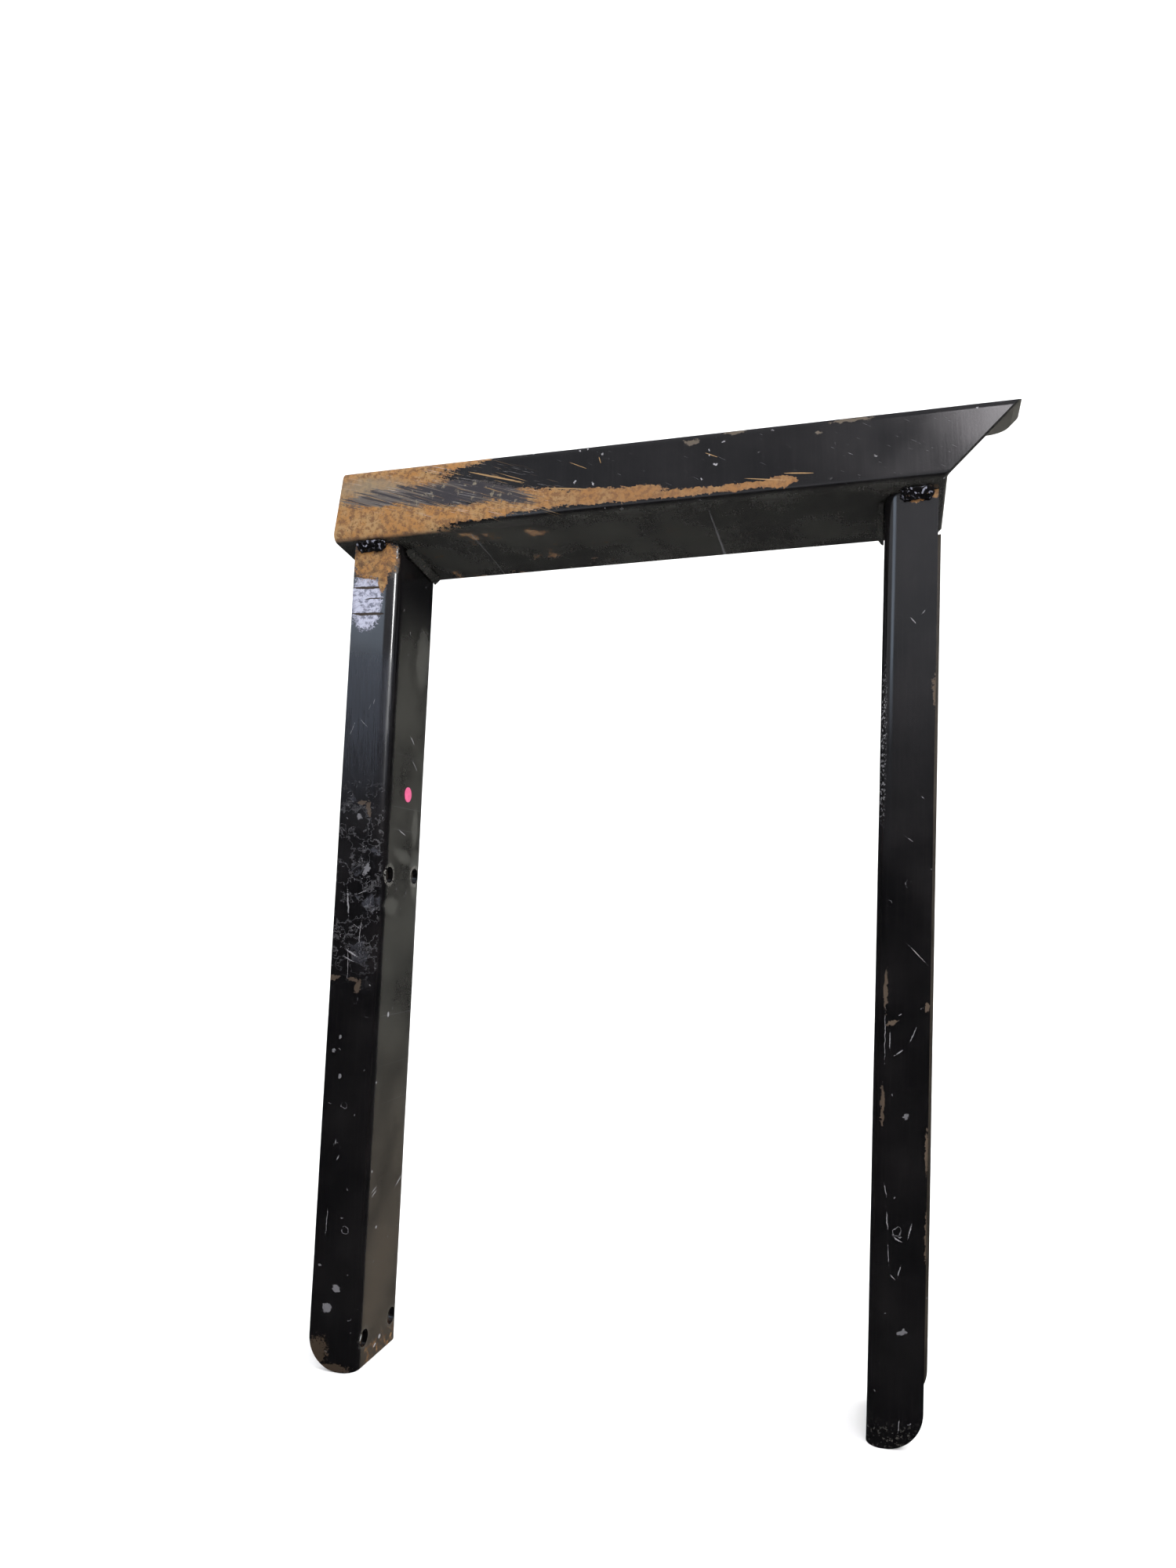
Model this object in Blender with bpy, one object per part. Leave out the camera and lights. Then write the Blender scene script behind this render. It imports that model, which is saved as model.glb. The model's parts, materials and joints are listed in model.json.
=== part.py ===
"""Welded steel trestle frame: two pressed channel legs under a tilted, mitred top rail.

Metres, +Z up. X runs along the rail, Y from the front face to the back, Z = 0 at the feet.
The pieces are laid out from the left leg's inner face (x = 0), the legs' front faces (y = 0)
and the feet (z = 0), and at the end the whole frame is moved so that its box is centred
on the origin.
"""

from math import cos, pi, radians, sin, tan

import bpy
from mathutils import Vector

# ---- Driving sizes (metres) -----------------------------------------------------------------

# Steel
plate = 0.006                   # wall of every pressed channel
joint_gap = 0.0003              # space left between two pieces that touch
edge_break = 0.0007             # rounding of the cut edges

# Legs: channels that stand upright, webs towards each other
leg_height = 0.680              # feet to the rail's lower front edge, at the left leg's inner face
leg_web = 0.080                 # front to back
leg_front_flange = 0.040        # web to free edge
leg_back_flange = 0.046
leg_bend = 0.011                # outer radius of the bends
leg_span = 0.400                # clear width between the two webs
foot_corner = 0.027             # rounding of the flanges' free corners at the foot

# Top rail: a channel with its web to the front and a deep lower flange
rail_face = 0.063               # height of the front web
rail_back_step = 0.0022         # the lower flange ends this far in front of the legs' backs
rail_upper_flange = 0.042       # front to back, on top
rail_bend = 0.0075              # outer radius of the bends
rail_setback = 0.0125           # how far the rail stands in front of the legs
rail_left_overhang = 0.0145     # lower edge, past the left leg's front flange
rail_right_overhang = 0.0010    # lower edge, past the right leg's front flange
rail_tilt = radians(7.2)        # the web leans back
rail_slope = radians(3.35)      # the rail rises to the right
mitre_angle = radians(45.0)     # right end, off square
left_end_lean = radians(5.5)    # left end, off square
upper_corner = 0.0125           # rounding of the upper flange's free corner

# Bolt holes through the left leg's web, in two rows of two
hole_diameter = 0.0135
hole_pitch = 0.048              # front to back
hole_heights = (0.0225, 0.398)

# Weld beads
front_bead = 0.0085
inner_bead = 0.0065
back_bead = 0.0060
bead_ripple_pitch = 0.0042
bead_ripple = 0.07              # share of the bead's size
front_bead_margin = 0.003       # bead ends, in from the flange's edges
inner_bead_margin = 0.004

# Round marker on the left leg's web
marker_diameter = 0.013
marker_thickness = 0.0005
marker_height = 0.468
marker_depth = 0.0415           # behind the leg's front face

# Mesh steps
bend_steps = 8
corner_steps = 10
hole_sides = 32
bead_arc_steps = 5

# ---- Rail directions and ends ---------------------------------------------------------------

rail_lower_flange = (rail_setback + leg_web - rail_back_step) / cos(rail_tilt)
rail_left_end = -leg_front_flange - rail_left_overhang
rail_right_end = leg_span + leg_front_flange + rail_right_overhang

rail_along = Vector((cos(rail_slope), 0, sin(rail_slope)))
square_up = Vector((-sin(rail_slope), 0, cos(rail_slope)))
rail_up = square_up * cos(rail_tilt) + Vector((0, 1, 0)) * sin(rail_tilt)
rail_back = Vector((0, 1, 0)) * cos(rail_tilt) - square_up * sin(rail_tilt)
rail_corner = Vector((0, -rail_setback, leg_height))


def rail_point(along, back, up):
    """A point of the rail, from its lower front corner above the left leg's inner face."""
    return rail_corner + rail_along * along + rail_back * back + rail_up * up


def underside(x, y):
    """Height of the rail's lower face above a point of the floor."""
    offset = (x - rail_corner.x) * rail_up.x + (y - rail_corner.y) * rail_up.y
    return rail_corner.z - offset / rail_up.z


# ---- Small helpers --------------------------------------------------------------------------


def clear_scene():
    for old in list(bpy.data.objects):
        bpy.data.objects.remove(old, do_unlink=True)


def make_material(name, colour, roughness, metallic):
    material = bpy.data.materials.new(name)
    material.use_nodes = True
    shader = material.node_tree.nodes["Principled BSDF"]
    shader.inputs["Base Color"].default_value = (*colour, 1.0)
    shader.inputs["Roughness"].default_value = roughness
    shader.inputs["Metallic"].default_value = metallic
    return material


def make_object(name, points, faces, material=None):
    mesh = bpy.data.meshes.new(name)
    mesh.from_pydata([tuple(point) for point in points], [], faces)
    mesh.validate()
    mesh.shade_smooth()
    mesh.set_sharp_from_angle(angle=radians(30))
    item = bpy.data.objects.new(name, mesh)
    bpy.context.collection.objects.link(item)
    if material is not None:
        mesh.materials.append(material)
    return item


def make_prism(name, bottom, top, material=None):
    """A closed solid between two outlines that run the same way round, seen from the top."""
    count = len(bottom)
    sides = [(i, (i + 1) % count, count + (i + 1) % count, count + i) for i in range(count)]
    ends = [tuple(reversed(range(count))), tuple(range(count, 2 * count))]
    return make_object(name, list(bottom) + list(top), ends + sides, material)


def arc(centre_a, centre_b, radius, start, end, steps):
    """Points of a round stretch, from one angle to another (degrees)."""
    angles = [radians(start + (end - start) * i / steps) for i in range(steps + 1)]
    return [(centre_a + radius * cos(angle), centre_b + radius * sin(angle)) for angle in angles]


def cut(item, cutter):
    """Take one solid away from another; the cutter stays as a guide."""
    cutter.display_type = "WIRE"
    cutter.hide_render = True
    modifier = item.modifiers.new("Cut " + cutter.name, "BOOLEAN")
    modifier.operation = "DIFFERENCE"
    modifier.solver = "EXACT"
    modifier.object = cutter


def break_edges(item):
    modifier = item.modifiers.new("Edge break", "BEVEL")
    modifier.width = edge_break
    modifier.segments = 2
    modifier.limit_method = "ANGLE"
    modifier.angle_limit = radians(40)
    modifier.use_clamp_overlap = True


# ---- Legs -----------------------------------------------------------------------------------


def leg_outline():
    """Section of the left leg seen from above, anticlockwise: web face at x = 0."""
    inner_bend = leg_bend - plate
    front, back = leg_bend, leg_web - leg_bend
    outline = [(-leg_front_flange, 0)]
    outline += arc(-leg_bend, front, leg_bend, -90, 0, bend_steps)
    outline += arc(-leg_bend, back, leg_bend, 0, 90, bend_steps)
    outline += [(-leg_back_flange, leg_web), (-leg_back_flange, leg_web - plate)]
    outline += arc(-leg_bend, back, inner_bend, 90, 0, bend_steps)
    outline += arc(-leg_bend, front, inner_bend, 0, -90, bend_steps)
    outline += [(-leg_front_flange, plate)]
    return outline


def make_leg(name, section, material):
    """Extrude a section from the floor to just under the rail."""
    bottom = [(x, y, 0) for x, y in section]
    top = [(x, y, underside(x, y) - joint_gap) for x, y in section]
    return make_prism(name, bottom, top, material)


def foot_cutter(name, free_edge, inwards, near, far):
    """The waste outside the rounded corner of one flange, which lies between near and far."""
    spare = 0.01
    centre_x = free_edge + inwards * foot_corner
    curve = arc(0, foot_corner, foot_corner, 180, 270, corner_steps)
    profile = [(centre_x + inwards * a, b) for a, b in curve]
    profile += [(centre_x, -spare)]
    profile += [(free_edge - inwards * spare, -spare), (free_edge - inwards * spare, foot_corner)]
    if inwards > 0:
        profile.reverse()
    front = [(x, near, z) for x, z in profile]
    back = [(x, far, z) for x, z in profile]
    return make_prism(name, back, front)


def round_feet(leg, side, web_x, outwards):
    """Round the free corner of both flanges where the leg meets the floor."""
    outside = 0.01
    middle = leg_web / 2
    front_edge = web_x + outwards * leg_front_flange
    back_edge = web_x + outwards * leg_back_flange
    cut(leg, foot_cutter(f"{side}_front_foot_waste", front_edge, -outwards, -outside, middle))
    cut(leg, foot_cutter(f"{side}_back_foot_waste", back_edge, -outwards, middle, leg_web + outside))


def hole_cutter(name):
    """Round bars along X where the bolts go through the left leg's web."""
    reach = 2 * plate
    points, faces = [], []
    for height in hole_heights:
        for side in (-1, 1):
            middle = leg_web / 2 + side * hole_pitch / 2
            ring = arc(middle, height, hole_diameter / 2, 0, 360, hole_sides)[:-1]
            first = len(points)
            points += [(-reach, y, z) for y, z in ring] + [(reach, y, z) for y, z in ring]
            near = range(first, first + hole_sides)
            faces.append(tuple(reversed(near)))
            faces.append(tuple(i + hole_sides for i in near))
            for i in range(hole_sides):
                j = (i + 1) % hole_sides
                faces.append((first + i, first + j, first + hole_sides + j, first + hole_sides + i))
    return make_object(name, points, faces)


# ---- Top rail -------------------------------------------------------------------------------


def rail_outline():
    """Section of the rail as (back, up) pairs, starting at the lower flange's free edge."""
    inner_bend = rail_bend - plate
    low, high = rail_bend, rail_face - rail_bend
    outline = [(rail_lower_flange, 0)]
    outline += arc(rail_bend, low, rail_bend, 270, 180, bend_steps)
    outline += arc(rail_bend, high, rail_bend, 180, 90, bend_steps)
    outline += [(rail_upper_flange, rail_face), (rail_upper_flange, rail_face - plate)]
    outline += arc(rail_bend, high, inner_bend, 90, 180, bend_steps)
    outline += arc(rail_bend, low, inner_bend, 180, 270, bend_steps)
    outline += [(rail_lower_flange, plate)]
    return outline


def make_rail(material):
    section = rail_outline()
    left, right = [], []
    for back, up in section:
        left.append(rail_point(rail_left_end + up * tan(left_end_lean), back, up))
        right.append(rail_point(rail_right_end + up * tan(mitre_angle), back, up))
    return make_prism("top_rail", left, right, material)


def corner_cutter(name):
    """The waste outside the rounded free corner of the upper flange, at the mitred end."""
    spare = 0.01
    tip = rail_right_end + rail_face * tan(mitre_angle)
    centre_along, centre_back = tip - upper_corner, rail_upper_flange - upper_corner
    profile = arc(centre_along, centre_back, upper_corner, 0, 90, corner_steps)
    profile += [(centre_along, rail_upper_flange + spare)]
    profile += [(tip + spare, rail_upper_flange + spare), (tip + spare, centre_back)]
    profile.reverse()
    low, high = rail_face - 2 * plate, rail_face + spare
    lower = [rail_point(along, back, low) for along, back in profile]
    upper = [rail_point(along, back, high) for along, back in profile]
    return make_prism(name, lower, upper)


# ---- Weld beads -----------------------------------------------------------------------------


def make_bead(name, start, end, down, out, size, material):
    """A rippled fillet along a corner line; down and out are the two faces it lies on."""
    length = (end - start).length
    ripples = max(3, round(length / bead_ripple_pitch))
    rings = ripples * 4
    sides = bead_arc_steps + 2
    points = []
    for i in range(rings + 1):
        share = i / rings
        swell = 1 + bead_ripple * cos(2 * pi * ripples * share)
        run_out = min(1, 0.55 + 0.45 * min(share, 1 - share) * rings / 3)
        reach = size * swell * run_out
        corner = start.lerp(end, share) + (down + out) * joint_gap * 1.2
        points.append(corner)
        for step in range(bead_arc_steps + 1):
            turn = pi / 2 * step / bead_arc_steps
            bulge = 1 - 0.22 * sin(2 * turn)
            points.append(corner + (down * cos(turn) + out * sin(turn)) * reach * bulge)
    faces = [tuple(range(sides)), tuple(reversed(range(rings * sides, (rings + 1) * sides)))]
    for i in range(rings):
        for j in range(sides):
            a, b = i * sides + j, i * sides + (j + 1) % sides
            faces.append((a, a + sides, b + sides, b))
    if down.cross(out).dot(end - start) > 0:
        faces = [tuple(reversed(face)) for face in faces]
    return make_object(name, points, faces, material)


def corner_point(x, y):
    return Vector((x, y, underside(x, y)))


def make_leg_beads(side, web_x, outwards, material):
    """Three beads hold a leg: across the front, along the web and across the back."""
    down = Vector((0, 0, -1))
    edge_x = web_x + outwards * (leg_front_flange - front_bead_margin)
    bend_x = web_x + outwards * leg_bend
    make_bead(f"{side}_front_weld", corner_point(edge_x, 0), corner_point(bend_x, 0),
              down, -rail_back, front_bead, material)
    make_bead(f"{side}_inner_weld", corner_point(web_x, leg_bend),
              corner_point(web_x, leg_web - inner_bead_margin),
              down, rail_along * -outwards, inner_bead, material)
    inside_y = leg_web - plate
    make_bead(f"{side}_back_weld", corner_point(edge_x, inside_y), corner_point(bend_x, inside_y),
              down, -rail_back, back_bead, material)


# ---- Marker ---------------------------------------------------------------------------------


def make_marker(material):
    ring = arc(marker_depth, marker_height, marker_diameter / 2, 0, 360, hole_sides)[:-1]
    near = [(joint_gap, y, z) for y, z in ring]
    far = [(joint_gap + marker_thickness, y, z) for y, z in ring]
    return make_prism("marker_sticker", near, far, material)


# ---- Place ----------------------------------------------------------------------------------


def centre_on_origin(pieces):
    """Move the frame so that its box is centred over the origin and stands on z = 0."""
    bpy.context.view_layer.update()
    graph = bpy.context.evaluated_depsgraph_get()
    corners = []
    for piece in pieces:
        shape = piece.evaluated_get(graph)
        corners += [shape.matrix_world @ Vector(corner) for corner in shape.bound_box]
    low = [min(corner[axis] for corner in corners) for axis in range(3)]
    high = [max(corner[axis] for corner in corners) for axis in range(3)]
    base = bpy.data.objects.new("frame_origin", None)
    bpy.context.collection.objects.link(base)
    base.location = (-(low[0] + high[0]) / 2, -(low[1] + high[1]) / 2, -low[2])
    for item in bpy.data.objects:
        if item is not base:
            item.parent = base
    bpy.context.view_layer.update()


def main():
    clear_scene()
    black_paint = make_material("black_paint", (0.018, 0.018, 0.022), 0.28, 0.0)
    worn_paint = make_material("worn_paint", (0.10, 0.055, 0.025), 0.55, 0.0)
    weld_metal = make_material("weld_metal", (0.03, 0.03, 0.032), 0.30, 0.3)
    pink_vinyl = make_material("pink_vinyl", (0.78, 0.12, 0.27), 0.5, 0.0)

    left_section = leg_outline()
    right_section = [(leg_span - x, y) for x, y in reversed(left_section)]
    left_leg = make_leg("left_leg", left_section, black_paint)
    right_leg = make_leg("right_leg", right_section, black_paint)
    round_feet(left_leg, "left", 0, -1)
    round_feet(right_leg, "right", leg_span, 1)
    cut(left_leg, hole_cutter("bolt_hole_waste"))

    rail = make_rail(worn_paint)
    cut(rail, corner_cutter("upper_corner_waste"))

    for piece in (left_leg, right_leg, rail):
        break_edges(piece)

    make_leg_beads("left", 0, -1, weld_metal)
    make_leg_beads("right", leg_span, 1, weld_metal)
    make_marker(pink_vinyl)

    centre_on_origin([item for item in bpy.data.objects if not item.hide_render])


main()
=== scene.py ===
# %% [markdown]
# # A welded steel trestle frame
#
# This is the end frame of a workshop trestle: two pressed steel channels stand as legs, and a
# deeper channel is welded across them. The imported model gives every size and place. This
# script models the visible pieces again with finer bends and edges, and gives them a finish:
# black gloss paint that is chipped and scratched, and rusted through where the rail was rubbed.

# %% Load the fixed frame
import json
from math import atan2, cos, degrees, hypot, radians, sin, tan

import bpy
from mathutils import Matrix, Vector

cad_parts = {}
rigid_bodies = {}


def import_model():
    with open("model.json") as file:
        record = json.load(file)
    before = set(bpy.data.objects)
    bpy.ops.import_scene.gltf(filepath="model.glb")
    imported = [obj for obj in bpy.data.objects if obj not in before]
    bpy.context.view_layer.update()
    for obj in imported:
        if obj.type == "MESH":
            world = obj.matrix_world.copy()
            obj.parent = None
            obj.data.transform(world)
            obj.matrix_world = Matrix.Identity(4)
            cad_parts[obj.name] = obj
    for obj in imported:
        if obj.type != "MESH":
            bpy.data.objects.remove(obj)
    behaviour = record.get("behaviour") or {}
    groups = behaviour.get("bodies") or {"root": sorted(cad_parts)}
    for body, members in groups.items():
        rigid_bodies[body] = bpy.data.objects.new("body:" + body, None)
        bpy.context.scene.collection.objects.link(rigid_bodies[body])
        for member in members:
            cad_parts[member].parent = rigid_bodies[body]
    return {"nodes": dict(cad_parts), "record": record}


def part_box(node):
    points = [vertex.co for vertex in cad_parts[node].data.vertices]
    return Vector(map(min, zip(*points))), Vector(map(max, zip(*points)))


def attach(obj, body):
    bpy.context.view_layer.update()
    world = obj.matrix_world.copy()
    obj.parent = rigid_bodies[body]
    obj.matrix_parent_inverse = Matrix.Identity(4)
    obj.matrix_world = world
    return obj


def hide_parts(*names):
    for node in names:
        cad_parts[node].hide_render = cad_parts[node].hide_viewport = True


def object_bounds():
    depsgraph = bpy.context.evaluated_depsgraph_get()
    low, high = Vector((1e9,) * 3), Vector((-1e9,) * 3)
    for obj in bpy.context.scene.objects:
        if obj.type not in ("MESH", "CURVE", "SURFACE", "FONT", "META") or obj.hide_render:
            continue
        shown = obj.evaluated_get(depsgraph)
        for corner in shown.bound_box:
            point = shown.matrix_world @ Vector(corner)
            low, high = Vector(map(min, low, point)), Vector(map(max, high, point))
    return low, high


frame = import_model()
cad_low, cad_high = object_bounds()
mounts = {mount["name"]: mount for mount in frame["record"]["mounts"]}
print("CAD box, mm:", [round(side * 1000, 1) for side in cad_high - cad_low])

# %% [markdown]
# ## The camera
#
# The viewer stands close to the frame, a little right of its middle and at half its height,
# and looks slightly up. A short lens this near makes the left leg lean and the right
# leg look longer. The view could be made by eye with a long lens, but then the leg's inner face
# and the rail's underside would not show, so the place, turn and lens are given as numbers.
# They come from a perspective fit of the frame's straight edges.

# %% Place the camera
camera_place = Vector((0.1785, -0.8314, 0.3862))
camera_forward = Vector((-0.20263, 0.97648, 0.07373))
camera_right = Vector((0.97905, 0.20047, 0.03575))

camera_data = bpy.data.cameras.new("camera")
camera_data.lens = 24.02
camera_data.sensor_width = 36.0
camera_data.shift_x = -0.0481
camera_data.shift_y = 0.0238
camera = bpy.data.objects.new("camera", camera_data)
bpy.context.collection.objects.link(camera)

camera_back = -camera_forward.normalized()
camera_up = camera_back.cross(camera_right).normalized()
camera_axes = Matrix((camera_up.cross(camera_back), camera_up, camera_back)).transposed()
camera.matrix_world = Matrix.Translation(camera_place) @ camera_axes.to_4x4()
bpy.context.scene.camera = camera
print("camera is", round(-camera_place.y, 2), "m in front of the frame")

# %% [markdown]
# ## Shader sums in Python
#
# A worn finish is layers and masks: where is the paint, where is it through to rust, how rough
# is each. The masks are sums of patterns. Wiring them node by node is hard to read, so a small
# class lets a socket stand in a Python sum, and each sum adds its own Math node. One method
# makes every other kind of node, and a few helpers name the patterns that this frame needs.

# %% A socket that can be added and multiplied


class Value:
    """A shader socket that can stand in Python sums."""

    def __init__(self, finish, socket):
        self.finish = finish
        self.socket = socket

    def maths(self, operation, left, right):
        return self.finish.node("ShaderNodeMath", {"operation": operation}, {0: left, 1: right})

    def __add__(self, other):
        return self.maths("ADD", self, other)

    def __radd__(self, other):
        return self.maths("ADD", other, self)

    def __sub__(self, other):
        return self.maths("SUBTRACT", self, other)

    def __rsub__(self, other):
        return self.maths("SUBTRACT", other, self)

    def __mul__(self, other):
        return self.maths("MULTIPLY", self, other)

    def __rmul__(self, other):
        return self.maths("MULTIPLY", other, self)

    def most(self, other):
        return self.maths("MAXIMUM", self, other)


# %% A node tree that makes any node, and a finish built up in coats


class NodeMaker:
    """A node tree with one method that adds a node of any kind."""

    def __init__(self, tree):
        self.tree = tree

    def rise(self, value, start, end):
        """0 before start, 1 after end and smooth between."""
        return self.node("ShaderNodeMapRange", {"interpolation_type": "SMOOTHSTEP"},
                         {"Value": value, "From Min": start, "From Max": end})

    def node(self, kind, settings=None, values=None, output=0):
        """Add a node of any kind, with its settings first and then its sockets."""
        made = self.tree.nodes.new(kind)
        for key, value in (settings or {}).items():
            setattr(made, key, value)
        for key, value in (values or {}).items():
            if isinstance(value, Value):
                self.tree.links.new(value.socket, made.inputs[key])
            else:
                made.inputs[key].default_value = value
        return Value(self, made.outputs[output])


class Finish(NodeMaker):
    """One material, built up from a base by laying coats over it through masks."""

    def __init__(self, name, colour, rough, metal=0.0):
        self.material = bpy.data.materials.new(name)
        self.material.use_nodes = True
        super().__init__(self.material.node_tree)
        self.colour = colour
        self.rough = rough
        self.metal = metal
        self.height = 0.0

    def place(self, origin, axes):
        """Where a point lies in millimetres from an origin, along three directions."""
        here = self.node("ShaderNodeTexCoord", output="Object")
        from_origin = self.node("ShaderNodeVectorMath", {"operation": "SUBTRACT"},
                                {0: here, 1: origin})
        parts = []
        for axis in axes:
            parts.append(self.node("ShaderNodeVectorMath", {"operation": "DOT_PRODUCT"},
                                   {0: from_origin, 1: axis * 1000}, output="Value"))
        whole = self.node("ShaderNodeCombineXYZ", {}, {0: parts[0], 1: parts[1], 2: parts[2]})
        return [whole] + parts

    def facing(self, axis):
        """How far the surface faces a direction: 1 straight at it, 0 edge on."""
        normal = self.node("ShaderNodeTexCoord", output="Normal")
        return self.node("ShaderNodeVectorMath", {"operation": "DOT_PRODUCT"},
                         {0: normal, 1: axis}, output="Value")

    def grain(self, where, size, detail=4.0, rough=0.6):
        """Noise between about 0.2 and 0.8, with lumps of a size in millimetres."""
        return self.node("ShaderNodeTexNoise", {},
                         {"Vector": where, "Scale": 1 / size, "Detail": detail,
                          "Roughness": rough})

    def turned(self, where, turn, long, across, centre=(0, 0, 0)):
        """The place counted in steps of long and across, along a direction turned by an angle."""
        return self.node("ShaderNodeMapping", {"vector_type": "TEXTURE"},
                         {"Vector": where, "Location": centre, "Rotation": (0, 0, radians(turn)),
                          "Scale": (long, across, 1000)})

    def streaks(self, where, turn, long, across, detail=2.0):
        """Noise drawn out into lines along a direction."""
        return self.grain(self.turned(where, turn, long, across), 1.0, detail, 0.5)

    def warped(self, where, size, amount):
        """The place pushed about by noise, so that an edge drawn with it is ragged."""
        noise = self.node("ShaderNodeTexNoise", {},
                          {"Vector": where, "Scale": 1 / size, "Detail": 4.0, "Roughness": 0.65},
                          output="Color")
        push = self.node("ShaderNodeVectorMath", {"operation": "SUBTRACT"},
                         {0: noise, 1: (0.5, 0.5, 0.5)})
        return self.node("ShaderNodeVectorMath", {"operation": "MULTIPLY_ADD"},
                         {0: push, 1: (amount, amount, 0.0), 2: where})

    def spot(self, where, centre, radii, turn=0.0):
        """1 at the middle of an oval, 0 on its rim and below 0 outside."""
        inside = self.turned(where, turn, radii[0], radii[1], (centre[0], centre[1], 0))
        return 1.0 - self.node("ShaderNodeVectorMath", {"operation": "LENGTH"},
                               {0: inside}, output="Value")

    def spots(self, where, ovals):
        """The union of several ovals, each given by its centre, its radii and its turn."""
        found = self.spot(where, *ovals[0])
        for oval in ovals[1:]:
            found = found.most(self.spot(where, *oval))
        return found

    def strokes(self, where, lines):
        """The union of thin pointed strokes, each given by its two ends and its half width."""
        ovals = []
        for start, end, half_width in lines:
            along, rise = end[0] - start[0], end[1] - start[1]
            middle = ((start[0] + end[0]) / 2, (start[1] + end[1]) / 2)
            ovals.append((middle, (hypot(along, rise) / 2, half_width), degrees(atan2(rise, along))))
        return self.spots(where, ovals)

    def tint(self, mask, first, second):
        """A colour that goes from first to second with the mask."""
        return self.node("ShaderNodeMix", {"data_type": "RGBA"},
                         {0: mask, 6: first, 7: second}, output=2)

    def lay(self, mask, colour, rough, metal=0.0, height=0.0):
        """Lay a coat over what is there. Height is how far it stands out, in millimetres."""
        bare = 1.0 - mask
        self.colour = self.tint(mask, self.colour, colour)
        self.rough = self.rough * bare + rough * mask
        self.metal = self.metal * bare + metal * mask
        if height:
            self.height = self.height + mask * height

    def close(self, specular=0.5):
        """Wire the coats into the shader and return the material."""
        shader = self.tree.nodes["Principled BSDF"]
        shader.inputs["Specular IOR Level"].default_value = specular
        bump = self.node("ShaderNodeBump", {}, {"Distance": 0.001, "Height": self.height})
        for name, value in (("Base Color", self.colour), ("Roughness", self.rough),
                            ("Metallic", self.metal), ("Normal", bump)):
            if isinstance(value, Value):
                self.tree.links.new(value.socket, shader.inputs[name])
            else:
                shader.inputs[name].default_value = value
        print(self.material.name, "has", len(self.tree.nodes), "nodes")
        return self.material


# %% [markdown]
# ## The studio
#
# Black gloss paint shows little of its own colour and a lot of what stands round it, so the
# lights are placed for their reflections. A soft box high on the right lies in the mirror
# direction of the rail's right end. A cooler one on the left, lower, is mirrored by the top of
# the left leg, and a small one on the right draws the bright line down that leg's bend. A fill
# light that mirrors don't see brightens the rust, and two more, overhead and on the back wall,
# keep the surroundings white. The floor sweeps up into walls, and they are hidden from mirrors
# as well, or they would turn the black paint grey. The world is a room that is lighter in front
# and above eye level, so the legs' faces fade to black from top to bottom.

# %% Make the floor, the lights and the world
floor_half = 4.0
floor_back = 2.2
wall_height = 4.0
sweep_radius = 1.0
studio_aim = Vector((0.0, 0.0, 0.45))


def only(item):
    """Select one object, and nothing else, and make it the active one."""
    for other in bpy.context.view_layer.objects:
        other.select_set(False)
    item.select_set(True)
    bpy.context.view_layer.objects.active = item


def edit(item, kind, wanted, *steps):
    """Select the item's FACE or EDGE elements that pass a test, then run edit-mode steps on them."""
    only(item)
    bpy.ops.object.mode_set(mode="EDIT")
    bpy.ops.mesh.select_mode(type=kind)
    bpy.ops.mesh.select_all(action="DESELECT")
    bpy.ops.object.mode_set(mode="OBJECT")
    for shape in item.data.polygons if kind == "FACE" else item.data.edges:
        shape.select = wanted(shape)
    bpy.ops.object.mode_set(mode="EDIT")
    for step in steps:
        step()
    bpy.ops.object.mode_set(mode="OBJECT")


def everything(shape):
    return True


def ends_of(item, edge):
    """The two end points of an edge."""
    return [item.data.vertices[number].co for number in edge.vertices]


bpy.ops.mesh.primitive_plane_add(size=2 * floor_half, location=(0, floor_back - floor_half, 0))
floor = bpy.context.object
floor.name = "studio_floor"
bpy.ops.object.transform_apply(location=True, rotation=True, scale=True)

edit(floor, "EDGE", everything,
     lambda: bpy.ops.mesh.extrude_region_move(TRANSFORM_OT_translate={"value": (0, 0, wall_height)}))


def below_the_rim(edge):
    return any(end.z < 0.001 for end in ends_of(floor, edge))


edit(floor, "EDGE", below_the_rim,
     lambda: bpy.ops.mesh.bevel(offset=sweep_radius, segments=16, affect="EDGES"))
only(floor)
bpy.ops.object.shade_smooth()
floor.visible_glossy = False


def soft_light(name, place, width, height, power, colour, mirrored, aim=studio_aim):
    """A rectangular light that faces the frame. Mirrored ones show in the gloss."""
    data = bpy.data.lights.new(name, "AREA")
    data.shape = "RECTANGLE"
    data.size = width
    data.size_y = height
    data.energy = power
    data.color = colour
    lamp = bpy.data.objects.new(name, data)
    bpy.context.collection.objects.link(lamp)
    lamp.location = place
    lamp.rotation_euler = (aim - Vector(place)).to_track_quat("-Z", "Y").to_euler()
    lamp.visible_glossy = mirrored


soft_light("right_soft_box", (0.69, -1.38, 1.88), 0.70, 0.62, 14, (1.0, 0.96, 1.0), True)
soft_light("left_window", (-1.02, -1.47, 1.25), 0.62, 0.62, 4, (0.66, 0.80, 1.0), True)
soft_light("bend_light", (1.15, -0.72, 1.10), 0.15, 0.36, 13, (1.0, 1.0, 1.0), True)
soft_light("front_fill", (0.30, -2.20, 1.60), 2.40, 1.60, 8, (1.0, 0.99, 0.98), False)
soft_light("top_bank", (0.0, 0.40, 2.90), 3.40, 2.40, 34, (1.0, 1.0, 1.0), False)
soft_light("wall_wash", (0.0, 0.30, 4.00), 6.00, 1.00, 190, (1.0, 1.0, 1.0), False,
           Vector((0.0, floor_back, 1.8)))

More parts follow.
